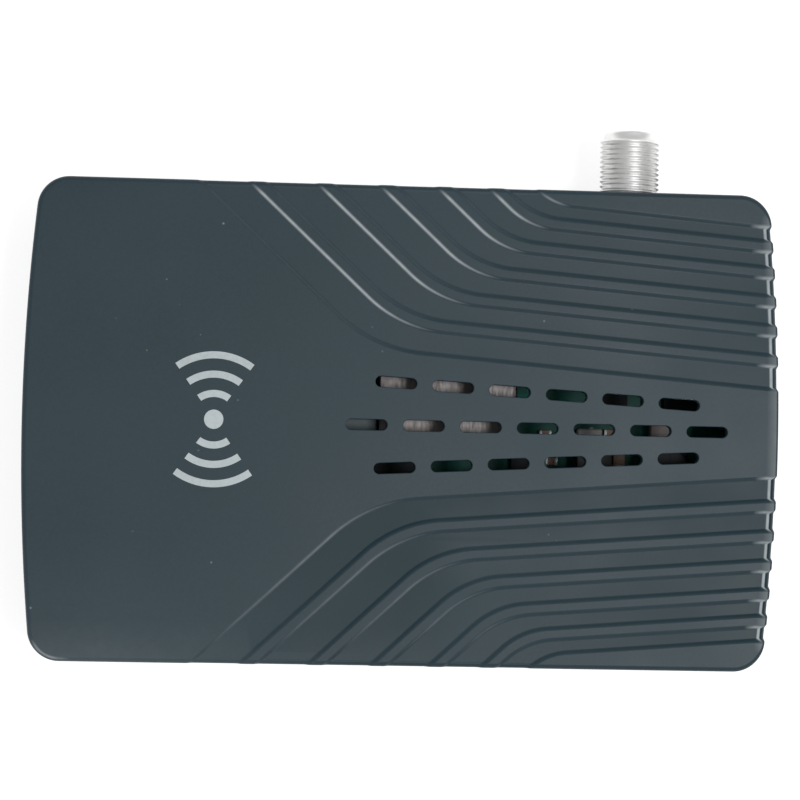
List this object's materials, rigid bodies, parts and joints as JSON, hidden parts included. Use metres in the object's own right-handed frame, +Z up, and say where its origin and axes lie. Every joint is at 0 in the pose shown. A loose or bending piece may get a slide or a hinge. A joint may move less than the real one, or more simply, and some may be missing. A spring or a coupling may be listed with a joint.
{
  "type": "tv receiver",
  "caption": "Small satellite television receiver: flat ribbed plastic box with roof vents, a threaded antenna socket, video, power and data sockets, a front window and a standby button.",
  "frame": {"origin": "on the surface it stands on, under the middle of its bounding box, antenna socket included", "axes": "+X along the case from the front end with the window to the back end, +Y to the side with the antenna socket, +Z up"},
  "size_m": [0.1184, 0.0858, 0.0248],
  "materials": {
    "case": "fine-textured moulded plastic",
    "screw_steel": "zinc-plated",
    "foot_rubber": "matt",
    "board": "solder mask",
    "antenna_plating": "nickel-plated",
    "insulator": "moulded",
    "contact": "plated",
    "tin_plate": "tin-plated sheet",
    "chip": "moulded",
    "capacitor_sleeve": "shrink sleeve",
    "ferrite": "sintered",
    "copper": "enamelled wire",
    "crystal_can": "drawn can",
    "filter": "moulded",
    "passive": "ceramic",
    "socket_plastic": "moulded",
    "socket_shell": "nickel-plated sheet",
    "display": "moulded",
    "receiver": "epoxy",
    "window": "smoked",
    "button": "moulded"
  },
  "bodies": {
    "case": {"top_cover": "case", "bottom_cover": "case", "case_screws": "screw_steel", "rubber_feet": "foot_rubber", "main_board": "board", "antenna_body": "antenna_plating", "antenna_insulator": "insulator", "antenna_contact": "contact", "tuner_frame": "tin_plate", "tuner_lid": "tin_plate", "processor": "chip", "processor_shield": "tin_plate", "memory_chip": "chip", "power_chips": "chip", "capacitors": "capacitor_sleeve", "inductor_core": "ferrite", "inductor_winding": "copper", "chokes": "ferrite", "crystal": "crystal_can", "filter_block": "filter", "chip_passives": "passive", "av_jack": "socket_plastic", "hdmi_shell": "socket_shell", "hdmi_insert": "socket_plastic", "dc_jack": "socket_plastic", "dc_pin": "contact", "usb_shell": "socket_shell", "usb_insert": "socket_plastic", "front_board": "board", "link_pins": "contact", "led_display": "display", "remote_receiver": "receiver", "display_window": "window", "switch_body": "chip"},
    "button": {"standby_button": "button", "switch_plunger": "button"}
  },
  "joints": [
    {"name": "standby_press", "type": "slide", "parent": "case", "child": "button", "axis": [1, 0, 0], "range_m": [0, 0.0003], "stiffness_N_per_m": 3000}
  ]
}
